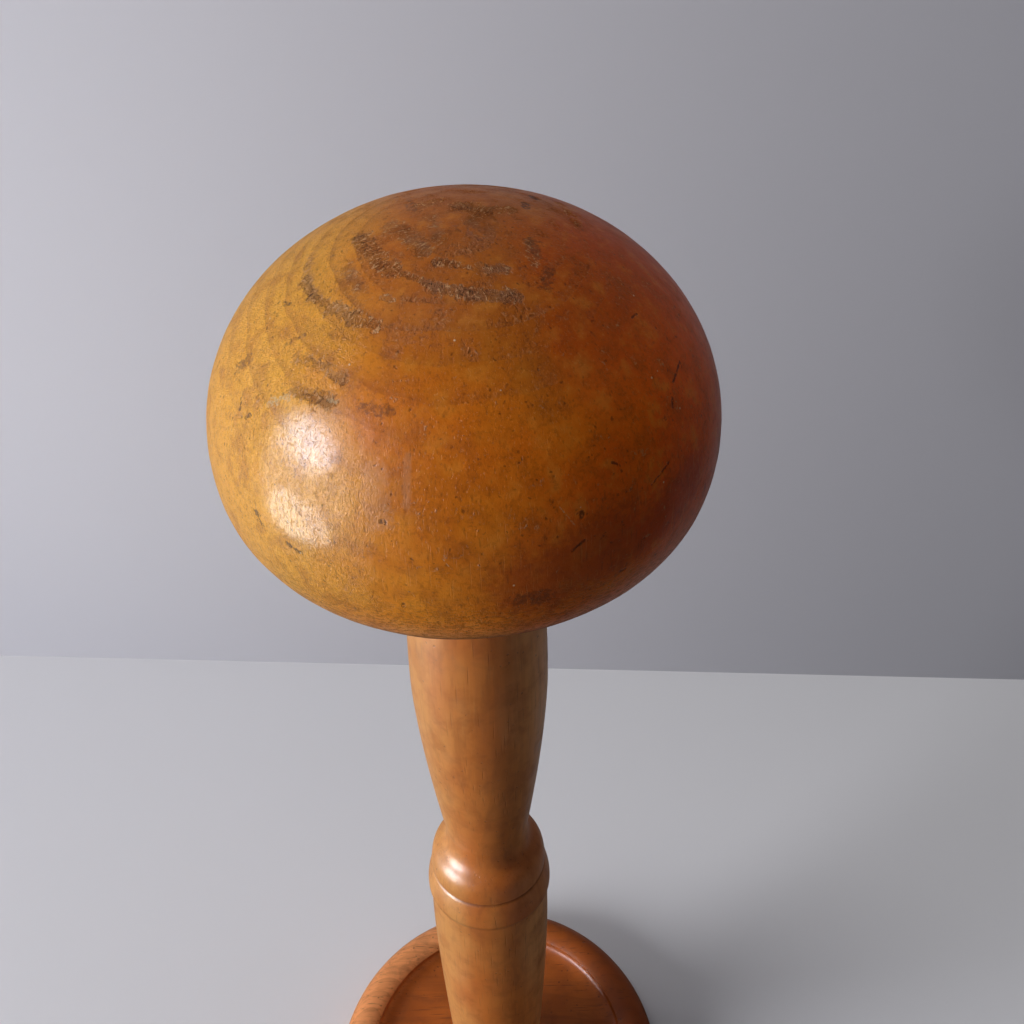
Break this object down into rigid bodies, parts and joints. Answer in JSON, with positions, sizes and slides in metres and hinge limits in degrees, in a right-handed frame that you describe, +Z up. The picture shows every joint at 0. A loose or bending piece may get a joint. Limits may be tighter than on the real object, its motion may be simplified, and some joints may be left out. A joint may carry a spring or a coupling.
{
  "type": "hat stand",
  "caption": "Free-standing turned wooden hat stand: flattened ball head on a baluster column with a ring, over a round dished base.",
  "frame": {"origin": "centre of the base's underside, in the plane of the ring that stands on the table", "axes": "+Z up the column's axis, +X across the wedge's faces, +Y along the wedge; the picture looks along +Y and down"},
  "size_m": [0.14, 0.14, 0.3952],
  "materials": {
    "head_wood": "worn satin varnish, orange-brown",
    "column_wood": "worn satin varnish, amber",
    "base_wood": "worn satin varnish, orange-brown",
    "wedge_wood": "bare, darkened"
  },
  "bodies": {
    "root": {"base": "base_wood", "column": "column_wood", "base_wedge": "wedge_wood", "head": "head_wood"}
  },
  "joints": []
}
